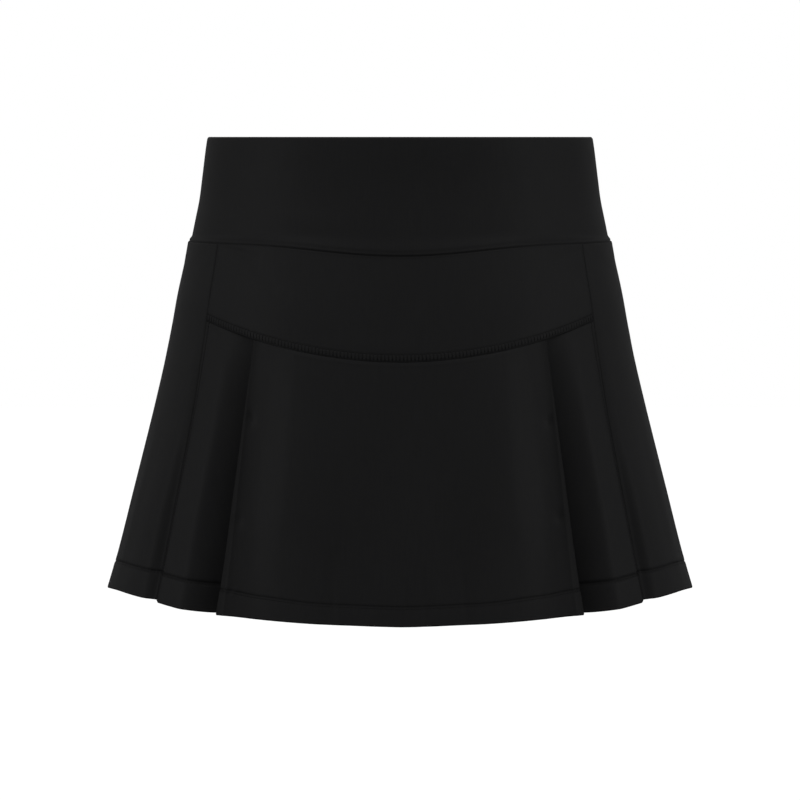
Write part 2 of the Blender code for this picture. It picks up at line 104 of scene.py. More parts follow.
def read(rows, column, at):
    """One column of a table at any values of its first one, on a smooth curve through the rows."""
    stations = np.array([row[0] for row in rows])
    values = np.array([getattr(row, column) for row in rows])
    last = len(rows) - 1
    index = np.arange(last + 1)
    before = np.maximum(index - 1, 0)
    after = np.minimum(index + 1, last)
    slopes = (values[after] - values[before]) / (stations[after] - stations[before])
    at = np.clip(at, stations[0], stations[-1])
    low = np.clip(np.searchsorted(stations, at, side="right") - 1, 0, last - 1)
    span = stations[low + 1] - stations[low]
    share = (at - stations[low]) / span
    start = (1 + 2 * share) * (1 - share) ** 2 * values[low]
    end = share * share * (3 - 2 * share) * values[low + 1]
    bend = share * (1 - share) ** 2 * slopes[low] + share * share * (share - 1) * slopes[low + 1]
    return start + end + span * bend


def ease(share):
    """A smooth step from 0 to 1."""
    share = np.clip(share, 0.0, 1.0)
    return share * share * (3 - 2 * share)


def outline(rings, drop, angle):
    """The outer ring: half an ellipse in front and half behind, drawn in at the sides."""
    front = read(rings, "front_depth", drop)
    back = read(rings, "back_depth", drop)
    depth = np.where(np.cos(angle) > 0, front, back)
    x = read(rings, "half_width", drop) * np.sin(angle)
    y = -depth * np.cos(angle) * (1 - read(rings, "side_taper", drop) * np.sin(angle) ** 2)
    return np.stack((x, y), axis=-1)


def along_ring(rings, drop, angle):
    """How the ring's point moves as its angle grows, in metres a radian."""
    step = 0.001
    return (outline(rings, drop, angle + step) - outline(rings, drop, angle - step)) / (2 * step)


def speed_round(rings, drop, angle):
    return np.linalg.norm(along_ring(rings, drop, angle), axis=-1)


def ring_point(rings, drop, angle, depth):
    """A point at an angle, moved straight inward from the ring by the depth."""
    drop, angle, depth = np.broadcast_arrays(drop, angle, depth)
    along = along_ring(rings, drop, angle)
    outward = unit(np.stack((along[..., 1], -along[..., 0]), axis=-1))
    flat = outline(rings, drop, angle) - outward * depth[..., None]
    return np.concatenate((flat, -drop[..., None]), axis=-1)


def half_slit_angle(rings, drop, angle):
    return SEAM_SLIT / 2 / speed_round(rings, drop, angle)


def waist_seam(angle):
    """Level round the sides and back, and dipping in a soft curve across the front."""
    across = np.minimum(np.abs(WAIST_HALF_WIDTH * np.sin(angle)) / WAIST_DIP_REACH, 1.0)
    dip = WAIST_DIP * (0.5 + 0.5 * np.cos(pi * across))
    return WAIST_SEAM + np.where(np.cos(angle) > 0, dip, 0.0)


def dipped(edge):
    """How far along its dip, from 0 to 1, each point of the waist seam lies."""
    return np.clip((-edge[:, 2] - WAIST_SEAM) / WAIST_DIP, 0.0, 1.0)


def below(edge):
    return lambda angle: edge(angle) + SEAM_SLIT / 2


def above(edge):
    return lambda angle: edge(angle) - SEAM_SLIT / 2


def spaced(length, marks, fine=FINE, coarse=COARSE, reach=0.003):
    """Shares from 0 to 1 of a length, close together near the marks and less so elsewhere."""
    at = np.linspace(0, length, 4000)
    away = np.abs(at[:, None] - np.array(marks)).min(axis=1)
    step = fine + (coarse - fine) * ease((away - reach / 2) / (2 * reach))
    count = np.concatenate(([0.0], np.cumsum((at[1] - at[0]) / step[1:])))
    wanted = np.linspace(0, count[-1], round(count[-1]) + 1)
    return np.interp(wanted, count, at) / length


def panel_grid(rings, place, top, hem, columns, rows):
    """Points on the middle of a panel, in rows from its top edge down.

    place(column, drop) gives a column's angle and depth, and top and hem give an edge's drop
    at an angle. rows are shares of the way down.
    """
    ends = []
    for edge in (top, hem):
        drop = np.full(len(columns), float(edge(np.array(0.0))))
        for _ in range(6):
            drop = edge(place(columns, drop)[0])
        ends.append(drop)
    drop = ends[0] + rows[:, None] * (ends[1] - ends[0])
    return ring_point(rings, drop, *place(columns, drop))


def unit(vectors):
    return vectors / np.linalg.norm(vectors, axis=-1, keepdims=True)


def directions(grid, axis):
    """The sum of the unit steps to a point and from it, carried on past the grid's ends."""
    steps = unit(np.diff(grid, axis=axis))
    before = unit(2 * steps.take([0], axis=axis) - steps.take([1], axis=axis))
    after = unit(2 * steps.take([-1], axis=axis) - steps.take([-2], axis=axis))
    return np.concatenate((before, steps), axis=axis) + np.concatenate((steps, after), axis=axis)


def facing(grid):
    """The directions out of the cloth, and how much longer a wall's offset is round a fold."""
    across = directions(grid, axis=1)
    miter = 2 / np.linalg.norm(across, axis=2, keepdims=True)
    return unit(np.cross(directions(grid, axis=0), across)), miter


def lengths(grid, axis):
    """How far each point lies along the cloth from the grid's first row or column."""
    steps = np.linalg.norm(np.diff(grid, axis=axis), axis=2)
    start = np.zeros_like(steps.take([0], axis=axis))
    return np.concatenate((start, np.cumsum(steps, axis=axis)), axis=axis)


Measures = namedtuple("Measures", "down up left right")


def measures(grid):
    """How far each point lies along the cloth from the top, bottom, left and right edges."""
    down = lengths(grid, 0)
    left = lengths(grid, 1)
    return Measures(down, down[-1] - down, left, left[:, -1:] - left)


def dent(distance, width):
    """A soft groove's share of its depth, 1 in its middle."""
    return np.exp(-(distance / width) ** 2)


def ditch(*distances):
    """How far the cloth rolls in towards its sewn edges."""
    nearest = np.minimum.reduce(distances)
    return DITCH_DEPTH * (1 - ease(nearest / DITCH_WIDTH)) ** 1.5


def painted_seam_shade(*distances):
    """Painted shade beside a piece's sewn edges, darkest in the seam's ditch."""
    return PAINTED_SEAM_SHADE * dent(np.minimum.reduce(distances), PAINTED_SEAM_SHADE_WIDTH)


def creases(*rows):
    return table("start_angle start_drop_mm end_angle end_drop_mm bow width_mm rise_mm", *rows)


def creased(grid, rings, rows):
    """How far soft creases move the cloth out.

    Each runs from its start to its end, bowed sideways by an angle, and fades out at both.
    """
    rise = np.zeros(grid.shape[:2])
    for crease in rows:
        start = ring_point(rings, crease.start_drop, radians(crease.start_angle), 0.0)
        end = ring_point(rings, crease.end_drop, radians(crease.end_angle), 0.0)
        chord = end - start
        share = np.clip((grid - start) @ chord / (chord @ chord), 0.0, 1.0)
        angle = crease.start_angle + (crease.end_angle - crease.start_angle) * share
        angle = np.radians(angle + crease.bow * 4 * share * (1 - share))
        drop = crease.start_drop + (crease.end_drop - crease.start_drop) * share
        away = np.linalg.norm(grid - ring_point(rings, drop, angle, 0.0), axis=2)
        rise += crease.rise * dent(away, crease.width) * np.sin(pi * share) ** 0.8
    return rise


def rounded(distance, radius, least):
    """The share of its thickness that a wall has near an edge that is round."""
    return np.maximum(np.sqrt(1 - np.clip(1 - distance / radius, 0.0, 1.0) ** 2), least)


def level_ends(offset):
    """The offset of a wall's side from its middle, with its top and bottom edges kept level."""
    offset[[0, -1], :, 2] = 0.0
    return offset


def in_scene(name, data):
    thing = bpy.data.objects.new(name, data)
    bpy.context.scene.collection.objects.link(thing)
    return thing


def smooth_mesh(name, points, faces, finish):
    mesh = bpy.data.meshes.new(name)
    mesh.from_pydata(points, [], faces)
    mesh.shade_smooth()
    mesh.materials.append(finish)
    return in_scene(name, mesh)


def shell(node, finish, outer, inner, painted_shade):
    """One closed thin shell from the two sides of a wall, in place of its CAD solid.

    painted_shade says how much painted shade darkens the outer side's knit, from 0 to 1.
    """
    rows, columns = outer.shape[:2]
    count = rows * columns
    index = np.arange(count).reshape(rows, columns)
    a, b = index[:-1, :-1].ravel(), index[1:, :-1].ravel()
    c, d = index[1:, 1:].ravel(), index[:-1, 1:].ravel()
    rim = np.concatenate((index[:, 0], index[-1, 1:], index[-2::-1, -1], index[0, -2:0:-1]))
    following = np.roll(rim, -1)
    faces = np.concatenate((
        np.stack((a, b, c, d), axis=1),
        np.stack((d, c, b, a), axis=1) + count,
        np.stack((following, rim, rim + count, following + count), axis=1),
    ))
    points = np.concatenate((outer.reshape(-1, 3), inner.reshape(-1, 3)))
    piece = smooth_mesh(node + "_cloth", points.tolist(), faces.tolist(), finish)
    piece.data.set_sharp_from_angle(angle=radians(60))

    reading = measures((outer + inner) / 2)
    middle = reading.left[:, columns // 2][:, None]
    flat = np.stack((reading.left - middle, reading.down, np.zeros_like(reading.down)), axis=2)
    # The outer side carries the painted shade that darkens the knit; the inner side has none.
    for name, kind, field, sides in (("knit_place", "FLOAT_VECTOR", "vector", (flat, flat)),
                                     ("knit_painted_shading", "FLOAT", "value", (painted_shade, 0 * painted_shade))):
        attribute = piece.data.attributes.new(name, kind, "POINT")
        attribute.data.foreach_set(field, np.concatenate(sides).astype(np.float32).ravel())

    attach(piece, "root")
    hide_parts(node)
    return piece


def feed(tree, node, inputs):
    """Give a node's inputs plain values, or link other sockets to them."""
    for key, value in inputs.items():
        if isinstance(value, bpy.types.NodeSocket):
            tree.links.new(value, node.inputs[key])
        else:
            node.inputs[key].default_value = value


def new_node(tree, kind, inputs, **settings):
    node = tree.nodes.new("ShaderNode" + kind)
    for name, value in settings.items():
        setattr(node, name, value)
    feed(tree, node, inputs)
    return node


def new_material(name, inputs):
    """A material, its node tree and its shader."""
    material = bpy.data.materials.new(name)
    material.use_nodes = True
    shader = material.node_tree.nodes["Principled BSDF"]
    feed(material.node_tree, shader, inputs)
    return material, material.node_tree, shader


def maths(tree, operation, *values):
    """A Math node on sockets or plain numbers, as its result."""
    return new_node(tree, "Math", dict(enumerate(values)), operation=operation).outputs[0]


def mixed(tree, share, first, second):
    """Two colours mixed by a share."""
    colours = {"Factor": share, 6: first, 7: second}
    return new_node(tree, "Mix", colours, data_type="RGBA").outputs[2]


def noise(tree, place, stretch, scale, detail):
    """Soft noise over the cloth, drawn out along it by the stretch."""
    spread = new_node(tree, "VectorMath", {0: place, 1: stretch}, operation="MULTIPLY")
    inputs = {"Vector": spread.outputs[0], "Scale": scale, "Detail": detail}
    return new_node(tree, "TexNoise", inputs).outputs["Fac"]


def knit_face():
    """Fine jersey: wales of V-shaped stitches, with the light and dark streaks of its yarns.

    Its colour is darkened by the painted shade it is given: shade painted into seams, stitched
    lines, hems and pleat edges.
    """
    tree = bpy.data.node_groups.new("knit_face", "ShaderNodeTree")
    sockets = (
        ("INPUT", "Vector", ["Place"]),
        ("INPUT", "Float", ["Wales", "Courses", "Roughness", "PaintedShade"]),
        ("INPUT", "Color", ["Yarn", "Gaps"]),
        ("OUTPUT", "Color", ["Color"]),
        ("OUTPUT", "Float", ["Roughness", "Height"]),
    )
    for way, kind, names in sockets:
        for name in names:
            tree.interface.new_socket(name=name, in_out=way, socket_type="NodeSocket" + kind)
    given = tree.nodes.new("NodeGroupInput").outputs
    split = new_node(tree, "SeparateXYZ", {0: given["Place"]}).outputs

    wale = maths(tree, "MULTIPLY", split["X"], given["Wales"])
    course = maths(tree, "MULTIPLY", split["Y"], given["Courses"])
    rib = maths(tree, "ABSOLUTE", maths(tree, "SINE", maths(tree, "MULTIPLY", wale, pi)))
    slant = maths(tree, "MULTIPLY", maths(tree, "PINGPONG", wale, 0.5), 0.9)
    turn = maths(tree, "MULTIPLY", maths(tree, "ADD", course, slant), 2 * pi)
    loop = maths(tree, "MULTIPLY_ADD", maths(tree, "SINE", turn), 0.25, 0.75)
    height = maths(tree, "MULTIPLY", rib, loop)

    streaks = noise(tree, given["Place"], (1.0, 0.05, 1.0), 900.0, 2.0)
    clouds = noise(tree, given["Place"], (1.0, 0.6, 1.0), 24.0, 3.0)
    worn = maths(tree, "ADD", maths(tree, "MULTIPLY", streaks, 0.5),
                 maths(tree, "MULTIPLY", clouds, 0.5))
    shade = maths(tree, "MULTIPLY_ADD", worn, 0.9, maths(tree, "MULTIPLY", height, 0.45))
    # The painted shade darkens the knit's colour.
    left = maths(tree, "MULTIPLY_ADD", given["PaintedShade"], -1.0, 1.0)
    darker = new_node(tree, "VectorMath", {
        0: mixed(tree, shade, given["Gaps"], given["Yarn"]), "Scale": left}, operation="SCALE")
    rough = maths(tree, "MULTIPLY_ADD", maths(tree, "SUBTRACT", clouds, 0.5), 0.2,
                  given["Roughness"])
    feed(tree, tree.nodes.new("NodeGroupOutput"),
         {"Height": height, "Color": darker.outputs[0], "Roughness": rough})
    return tree


KNIT_FACE = knit_face()


def knit(name, yarn, gaps, wales, courses, roughness, bump):
    """A matt stretch knit with a faint sheen from its fine hairs."""
    material, tree, shader = new_material(name, {
        "Specular IOR Level": 0.035, "Coat Weight": 0.05, "Coat Roughness": 0.4,
        "Sheen Weight": 0.008, "Sheen Roughness": 0.42})
    # The second attribute holds the painted shade that darkens the knit's colour.
    place, painted_shading = (new_node(tree, "Attribute", {}, attribute_name="knit_" + kind).outputs
                    for kind in ("place", "painted_shading"))
    face = new_node(tree, "Group", {
        "Place": place["Vector"], "PaintedShade": painted_shading["Fac"], "Wales": wales, "Courses": courses,
        "Yarn": (*yarn, 1), "Gaps": (*gaps, 1), "Roughness": roughness},
        node_tree=KNIT_FACE).outputs
    relief = new_node(tree, "Bump", {
        "Strength": bump, "Distance": 0.00015, "Height": face["Height"]})
    feed(tree, shader, {"Base Color": face["Color"], "Roughness": face["Roughness"],
                        "Normal": relief.outputs["Normal"]})
    return material


band_knit = knit("band_knit", yarn=(0.0098, 0.0098, 0.0101), gaps=(0.0048, 0.0048, 0.005),
                 wales=1700, courses=2000, roughness=0.8, bump=0.3)

BAND_CREASES = {
    "front": creases(
        (-62, 16, -22, 21, 2, 7, -0.22),
        (18, 30, 66, 19, -2, 9, -0.26),
        (-48, 52, -8, 60, 1, 8, 0.2),
        (24, 61, 70, 55, 2, 7, 0.18),
    ),
    "back": creases(
        (112, 18, 160, 24, 2, 8, -0.26),
        (176, 34, 236, 22, -3, 9, -0.3),
        (128, 58, 172, 54, 1, 7, 0.22),
        (204, 52, 250, 60, 2, 8, 0.2),
    ),
}


def waistband(half, first_angle, last_angle):
    def place(share, drop):
        angle = first_angle + (last_angle - first_angle) * share
        angle = angle + half_slit_angle(BAND_RINGS, drop, angle) * (1 - 2 * share)
        sideways = np.sin(angle) ** 2
        height = SIDE_FLARE_HEIGHT * sideways + FRONT_FLARE_HEIGHT * (1 - sideways)
        flare = BAND_FLARE * ease(1 - (waist_seam(angle) - drop) / height)
        return angle, BAND_WALL / 2 - flare

    columns = spaced(HALF_BAND_LENGTH, (0, HALF_BAND_LENGTH), coarse=0.003)
    rows = spaced(WAIST_SEAM, (0, WAIST_SEAM - PRESS_LINE, WAIST_SEAM), fine=0.00025)
    grid = panel_grid(BAND_RINGS, place, lambda angle: 0.0 * angle, above(waist_seam),
                      columns, rows)
    reading = measures(grid)
    grid = grid + facing(grid)[0] * creased(grid, BAND_RINGS, BAND_CREASES[half])[..., None]

    wall = BAND_WALL * rounded(reading.down, BAND_TOP_ROUND, least=0.2)
    rolled = ditch(reading.up, reading.left, reading.right)
    outward, miter = facing(grid)
    offset = level_ends(outward * miter * (wall / 2)[..., None])
    line = dent(reading.up - PRESS_LINE, PRESS_WIDTH)
    # Painted shade: in the ditches of the band's seams, along the allowances' edge and above the
    # dip of the waist seam.
    painted_shade = painted_seam_shade(reading.up, reading.left, reading.right) + PAINTED_ALLOWANCE_SHADE * line
    painted_shade = painted_shade + PAINTED_DIP_SHADE * dipped(grid[-1]) * dent(reading.up, PAINTED_DIP_SHADE_WIDTH)
    outer = grid + offset - outward * (rolled + PRESS_DEPTH * line)[..., None]
    inner = grid - offset + outward * (INNER_DITCH * rolled)[..., None]
    band = shell("waistband_" + half, band_knit, outer, inner, painted_shade)


side_angle = radians(SIDE_SEAM_ANGLE)
waistband("front", -side_angle, side_angle)
waistband("back", side_angle, 2 * pi - side_angle)


# ---- front yoke ----
# One layer of matt stretch knit between the waist seam and the curved yoke seam. The yoke
# seam's allowances are pressed up behind its lower edge and held there by a coverstitch.

SKIRT_RINGS = table(
    RING,
    (72, 148.4, 108.5, 113.5, 0),
    (90, 152, 112.4, 118.4, 0),
    (111, 156.5, 116.8, 124, 0),
    (132, 160.4, 120.7, 129, 0.02),
    (153, 164.8, 124.3, 133.4, 0.04),
    (185, 172.7, 129.4, 138.8, 0.08),
    (206, 178.1, 132.7, 142, 0.1),
    (249, 189.2, 139.3, 148.2, 0.14),
    (292, 200.1, 145.8, 154.1, 0.18),
    (321, 208.5, 150.2, 158, 0.2),
)

# Its last two columns are painted shade: a wide band in the seam's valley and a narrow line along
# the seam.
SIDE_FRONT_SEAM = table(
    "drop_mm angle valley_mm swell_mm strain pinch",
    (72, 56.7, 0, 0, 0, 0.25),
    (110, 56.2, 0, 0, 0, 0.28),
    (150, 55.9, 0.4, 0, 0.2, 0.1),
    (185, 55.3, 1.2, 0.6, 0.36, 0),
    (235, 55, 1.8, 2.6, 0.2, 0),
    (290, 54.9, 2.4, 3.4, 0.06, 0),
    (321, 54.5, 2.6, 2.8, 0.06, 0),
)

CLOTH = 0.0012
YOKE_SEAM = 0.1484  # drop of the yoke seam at the front centre
YOKE_CURVE = 1.37  # it rises by this times the square of the distance from the centre
YOKE_LENGTH = 0.075
YOKE_WIDTH = 0.3
NEEDLE_LOW = 0.001  # the coverstitch's two needle lines lie this far above the seam
NEEDLE_HIGH = 0.0047
LOW_PULL = 0.25  # the lower one draws in by this share of what the upper one does
STITCH_PRESS = 0.0003  # how deep a line of stitches draws into the cloth
STITCH_PRESS_WIDTH = 0.0006
PAINTED_VALLEY_SHADE_WIDTH = 0.0052
PAINTED_SEAM_LINE_WIDTH = 0.0015
PAINTED_WAIST_SHADE = 0.34  # share of painted shade below the dip of the waist seam, where the band's proud edge would shade the yoke
PAINTED_WAIST_SHADE_WIDTH = 0.0018
PAINTED_STITCH_SHADE = 0.35  # share of painted shade in the groove under a line of stitches
ALLOWANCE_RISE = 0.00035
ALLOWANCE_EDGE = 0.0054
ALLOWANCE_STEP = 0.001
PUCKER_RISE = 0.0001
PUCKER_REACH = 0.004
PUCKERS = table("length_mm start", (8.3, 0), (5.7, 1.3), (41, 0.7))  # the third is a slow one

YOKE_CREASES = creases(
    (-56, 74.5, -38, 81.5, 0.5, 2.8, -0.85),
    (-43, 77.5, -31, 102, -1.5, 4.2, -0.75),
    (56, 76, 40, 83.5, -0.5, 3, -0.6),
    (45, 79, 34, 96, 1, 4, -0.6),
    (-20, 136, 8, 139.5, 0.5, 4, 0.18),
    (-34, 118, -12, 126, 1, 7, 0.22),
    (14, 126, 38, 113, 1.5, 7, 0.22),
)


def painted_side_front_shade(grid, from_seam):
    """Painted shade on both sides of a side-front seam: wide in its valley, and narrow right along
    it.
    """
    drop = -grid[..., 2]
    wide = read(SIDE_FRONT_SEAM, "strain", drop) * dent(from_seam, PAINTED_VALLEY_SHADE_WIDTH)
    return wide + read(SIDE_FRONT_SEAM, "pinch", drop) * dent(from_seam, PAINTED_SEAM_LINE_WIDTH)


def side_front_angle(drop):
    return np.radians(read(SIDE_FRONT_SEAM, "angle", drop))


def yoke_seam(angle):
    """A parabola that is lowest at the front centre."""
    drop = YOKE_SEAM + 0.0 * angle
    for _ in range(5):
        across = read(SKIRT_RINGS, "half_width", drop) * np.sin(angle)
        drop = YOKE_SEAM - YOKE_CURVE * across ** 2
    return drop


def stitched(distance):
    """How far a line of stitches draws the cloth in."""
    return STITCH_PRESS * dent(distance, STITCH_PRESS_WIDTH)


def puckered(along, distance):
    """Small uneven puckers along a line of stitches."""
    first, second, slow = (np.sin(2 * pi * along / row.length + row.start) for row in PUCKERS)
    return PUCKER_RISE * (first + second) * (0.6 + 0.4 * slow) * dent(distance, PUCKER_REACH)


Cloth = namedtuple("Cloth", "piece outer inner outward reading hem")


def knit_panel(node, slot, finish, grid, relief, painted_shade, folds, hem=None):
    """One layer of knit. Its sewn edges roll in, and a hem is turned up inside its lowest part.

    relief moves the outer face alone, and folds moves both faces. painted_shade says where
    painted shade darkens the knit; more painted shade is added beside its sewn edges.
    """
    reading = measures(grid)
    to_edges = [reading.down, reading.left, reading.right] + [reading.up] * (hem is None)
    grid = grid + facing(grid)[0] * folds[..., None]
    grid = grid - facing(grid)[0] * ditch(*to_edges)[..., None]
    outward, miter = facing(grid)
    out = np.full(grid.shape[:2], CLOTH / 2)
    into = out.copy()
    if hem is not None:
        share = rounded(reading.up, HEM_ROUND, least=0.25)
        out = out * share
        into = (into + HEM_FOLD * ease((hem + HEM_EDGE - reading.up) / HEM_STEP)) * share
    outer = grid + level_ends(outward * miter * (out + relief)[..., None])
    inner = grid - level_ends(outward * miter * into[..., None])
    painted_shade = np.minimum(painted_shade + painted_seam_shade(*to_edges), 1.0)
    piece = shell(node, finish, outer, inner, painted_shade)
    return Cloth(piece, outer, inner, outward, reading, hem)


skirt_knit = knit("skirt_knit", yarn=(0.0098, 0.0098, 0.0101), gaps=(0.0048, 0.0048, 0.005),
                  wales=1800, courses=2200, roughness=0.8, bump=0.35)


def front_yoke():
    def place(share, drop):
        edge = side_front_angle(drop)
        edge = edge - half_slit_angle(SKIRT_RINGS, drop, edge)
        return edge * (2 * share - 1), CLOTH / 2

    columns = spaced(YOKE_WIDTH, (0, YOKE_WIDTH))
    rows = spaced(YOKE_LENGTH, (0, YOKE_LENGTH - NEEDLE_HIGH, YOKE_LENGTH), fine=0.0003)
    grid = panel_grid(SKIRT_RINGS, place, below(waist_seam), above(yoke_seam), columns, rows)
    reading = measures(grid)
    up = reading.up
    relief = ALLOWANCE_RISE * ease((ALLOWANCE_EDGE - up) / ALLOWANCE_STEP)
    relief = relief - LOW_PULL * stitched(up - NEEDLE_LOW) - stitched(up - NEEDLE_HIGH)
    relief = relief + puckered(reading.left, up - NEEDLE_HIGH)
    # Painted shade under the upper needle line, beside the side-front seams and below the dip of
    # the waist seam.
    painted_shade = PAINTED_STITCH_SHADE * dent(up - NEEDLE_HIGH, STITCH_PRESS_WIDTH)
    painted_shade = painted_shade + painted_side_front_shade(grid, np.minimum(reading.left, reading.right))
    painted_shade = painted_shade + PAINTED_WAIST_SHADE * dipped(grid[0]) * dent(reading.down, PAINTED_WAIST_SHADE_WIDTH)
    folds = creased(grid, SKIRT_RINGS, YOKE_CREASES)
    yoke = knit_panel("front_yoke", "skirt_knit", skirt_knit, grid, relief, painted_shade, folds)
    return yoke


yoke = front_yoke()


# ---- pleated front of the skirt ----
# The centre panel, both pleats and the recessed sections beside them are one piece of knit.
# Each pleat folds back under the centre panel and out again, is caught flat in the yoke seam
# and opens towards the hem, which is turned up inside and coverstitched.

PLEATS = table(
    "drop_mm edge_angle underlay_mm back_radius_mm recess_mm",
    (136, 37.9, 18, 1, 4.6),
    (160, 37.8, 19, 1.1, 9.2),
    (210, 37.3, 21, 1.5, 16.5),
    (245, 37, 22, 1.7, 20),
    (272, 36.8, 24, 1.9, 22.5),
    (321, 36.6, 29, 2.2, 28),
)

LIFTS = table(  # a pleat's edge lifts away, and the cloth bulges softly beside it
    "drop_mm edge_mm reach bulge_mm",
    (125, 0, 5, 0),
    (160, 0.6, 5, 2),
    (210, 2.2, 5.5, 3),
    (245, 3, 6, 2.5),
    (272, 3.6, 7.5, 1.4),
    (321, 4.8, 10, 0.4),
)

EDGE = "angle drop_mm"

FRONT_HEM = table(
    EDGE,
    (0, 321.3), (15, 320.6), (27, 319.9), (36.6, 318.9), (38.6, 321.2), (45, 319.1),
    (54.5, 316.4),
)

FRONT_HEM_DEPTHS = table(  # how deep the hem is turned up, and how hard its stitches pull
    "stretch depth_mm pull",
    (0, 12.7, 0.45), (0.2, 12.9, 0.45), (0.5, 13.4, 0.45), (0.65, 14.6, 0.55),
    (0.8, 15.3, 0.65), (1, 17.2, 0.65), (2, 18, 0.9), (3, 19.7, 1.2), (5, 19.9, 1.2),
)

WAVE = "angle spread rise_mm"

FRONT_WAVES = table(
    WAVE,
    (-17.5, 7, 0.4), (-8.5, 5.5, -0.8), (2.2, 5.5, 0.7), (10.5, 5.5, -0.8),
    (18.5, 7, 0.3),
)

EDGE_RADIUS = 0.001  # of a pleat's fold at its edge
WAVE_REACH = 0.17  # the waves are full this far below the yoke seam
BULGE_START = 5.0  # the bulge rises and falls between these degrees from the edge
BULGE_CREST = 13.0
BULGE_END = 33.0
VALLEY_WIDTH = 0.006
SECTION_DIP = -0.18  # a recessed section rises between these shares of its width
SECTION_RISE = 0.58
HEM = 0.0195  # depth of the turned-up hem at the sides and the back
HEM_FOLD = 0.0006  # how much thicker it is inside
HEM_EDGE = 0.0016  # its raw edge lies this far above the stitches
HEM_STEP = 0.0008
HEM_ROUND = 0.0008
HEM_NEEDLES = 0.001  # its needle lines lie this far to each side of its middle
HEM_LOOPER = 0.002  # and the looper thread reaches this far
HEM_PRESS = 0.0004  # how deep its stitches draw into the cloth
HEM_PRESS_WIDTH = 0.0014
# painted shade in the groove of the hem's stitches
PAINTED_HEM_SHADE = 0.38
HEM_PROUD = 0.00012  # how far the cloth stands out below them
HEM_PROUD_STEP = 0.001
PAINTED_PLEAT_SHADE = 0.42  # painted shade along a pleat's edge and the cloth beside it
PAINTED_PLEAT_SHADE_WIDTH = 0.0055
FRONT_LENGTH = 0.17
CENTRE_WIDTH = 0.13  # of half the centre panel, at the hem
SECTION_WIDTH = 0.072
TOPSTITCH = 0.0031  # a line of stitches this far from the side-front seam
TOPSTITCH_END = 0.178  # the painted shade along it fades out at this drop, and its draw in part
TOPSTITCH_FADE = 0.03
TOPSTITCH_FADED = 0.35  # share of the stitches' draw that stays beyond it
RIDGE = 0.00012  # a low ridge runs just below the yoke seam
RIDGE_DROP = 0.0026
RIDGE_WIDTH = 0.0009
FOLD_POINTS = (9, 10, 8)  # round a pleat's edge, along its underlay and round its back fold
STITCH_DEPTHS = (0.0195, 0.0175, 0.0155, 0.0135, 0.012)  # points lie close together at these

FRONT_CREASES = creases(
    (-36.2, 184, -34, 192, 0.3, 2.6, -1),
    (-35.4, 252, -33.4, 260, 0.3, 2.8, -1),
    (36, 187, 34, 194, -0.3, 2.6, -0.9),
    (35.2, 250, 33.2, 258, -0.3, 2.8, -1),
    (-6.5, 205, -5.5, 312, 0.6, 7.5, -0.6),
    (8, 215, 8.8, 306, -0.5, 7, -0.5),
    (1.2, 225, 0.8, 320, 0.2, 3.5, 0.4),
    (-13.2, 270, -12.8, 345, 0, 4.5, -1.1),
    (12.4, 272, 12.2, 345, 0, 4.2, -0.9),
    (4.8, 285, 4.6, 345, 0, 3.5, -0.8),
    (-45.5, 165, -47.5, 285, 0.6, 6, 0.5),
    (46.5, 170, 47, 280, -0.5, 6, 0.5),
)


def arc_run(share, heading, turn, radius):
    """How far the first share of an arc leads along the ring and inward."""
    side = np.sign(turn)
    now = heading + turn * share
    return side * radius * (np.sin(now) - np.sin(heading)), \
        side * radius * (np.cos(heading) - np.cos(now))


def pleat_place(stretch, drop):
    """A column's angle and depth.

    stretch runs from 0 at the front centre to 1 at a pleat's edge, 2 after the edge's fold, 3
    after the underlay, 4 after the back fold and 5 at the side-front seam.
    """
    edge = np.radians(read(PLEATS, "edge_angle", drop))
    speed = speed_round(SKIRT_RINGS, drop, edge)
    seam = side_front_angle(drop)
    seam = seam - half_slit_angle(SKIRT_RINGS, drop, seam)
    width = (seam - edge) * speed
    underlay = read(PLEATS, "underlay", drop)
    back_radius = read(PLEATS, "back_radius", drop)
    recess = read(PLEATS, "recess", drop)
    both = EDGE_RADIUS + back_radius
    splay = np.arcsin((recess - CLOTH / 2 - both) / np.hypot(both, underlay))
    splay = splay - np.arctan2(both, underlay)
    turn = pi - splay

    def folded(in_edge, in_underlay, in_back):
        edge_along, edge_in = arc_run(in_edge, 0.0, turn, EDGE_RADIUS)
        back_along, back_in = arc_run(in_back, turn, -turn, back_radius)
        along = edge_along - underlay * in_underlay * np.cos(splay) + back_along
        depth = edge_in + underlay * in_underlay * np.sin(splay) + back_in
        return along - EDGE_RADIUS - CLOTH / 2, depth + CLOTH / 2

    shares = [np.clip(stretch - number, 0.0, 1.0) for number in range(1, 5)]
    along, depth = folded(*shares[:3])
    start_along, start_depth = folded(1.0, 1.0, 1.0)
    along = along + (width - start_along) * shares[3]
    risen = ease((along / width - SECTION_DIP) / (SECTION_RISE - SECTION_DIP))
    depth = depth + (CLOTH / 2 - start_depth) * risen * (shares[3] > 0)
    valley = read(SIDE_FRONT_SEAM, "valley", drop)
    depth = depth + valley * ease(1 - (width - along) / VALLEY_WIDTH)
    centre = (edge - (EDGE_RADIUS + CLOTH / 2) / speed) * stretch
    return np.where(stretch <= 1, centre, edge + along / speed), depth


def front_hem(angle):
    return read(FRONT_HEM, "drop", np.abs(np.degrees(angle)))


def waved(angle, rows):
    """The sum of soft round bumps, each with its own angle, spread and rise."""
    total = 0.0
    for row in rows:
        away = np.minimum(np.abs(np.degrees(angle) - row.angle) / row.spread, 1.0)
        total = total + row.rise * (0.5 + 0.5 * np.cos(pi * away))
    return total


